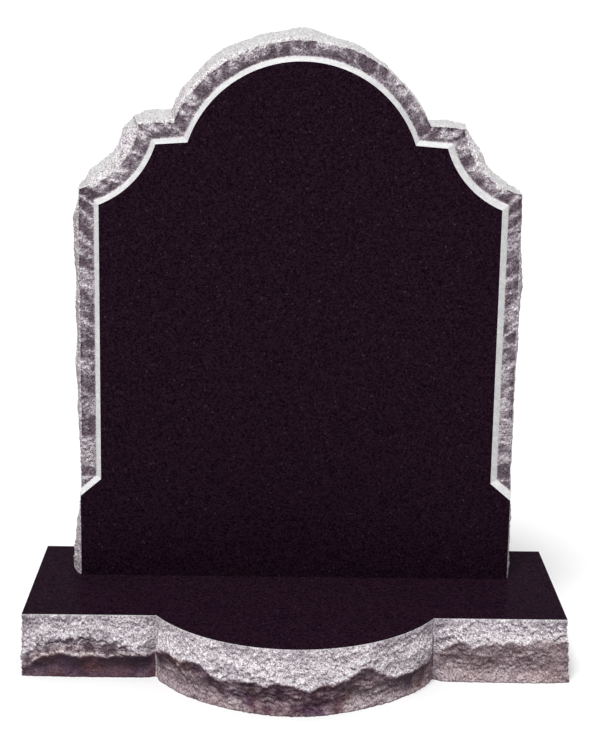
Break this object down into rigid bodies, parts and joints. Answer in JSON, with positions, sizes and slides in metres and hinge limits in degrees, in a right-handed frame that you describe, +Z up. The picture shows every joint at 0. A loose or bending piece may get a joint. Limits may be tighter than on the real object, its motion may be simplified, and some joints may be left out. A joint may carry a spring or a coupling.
{
  "type": "headstone",
  "caption": "Upright polished granite headstone with an arched, scooped outline and rock-pitched edges, on a bowed granite base.",
  "frame": {"origin": "on the underside of the base, in the middle of its straight part, leaving out the bow", "axes": "+Z up, the polished face and the bow look along -Y, and +X is to the right of someone who faces the stone"},
  "size_m": [0.9359, 0.4508, 1.0759],
  "materials": {
    "base_granite": "polished dark granite on top, rock-pitched and pale grey on the front and ends, sawn on the back and underside",
    "headstone_granite": "polished dark granite face with a pale sawn margin, rock-pitched pale grey border and edges, sawn back"
  },
  "bodies": {
    "root": {"base": "base_granite", "headstone": "headstone_granite"}
  },
  "joints": []
}
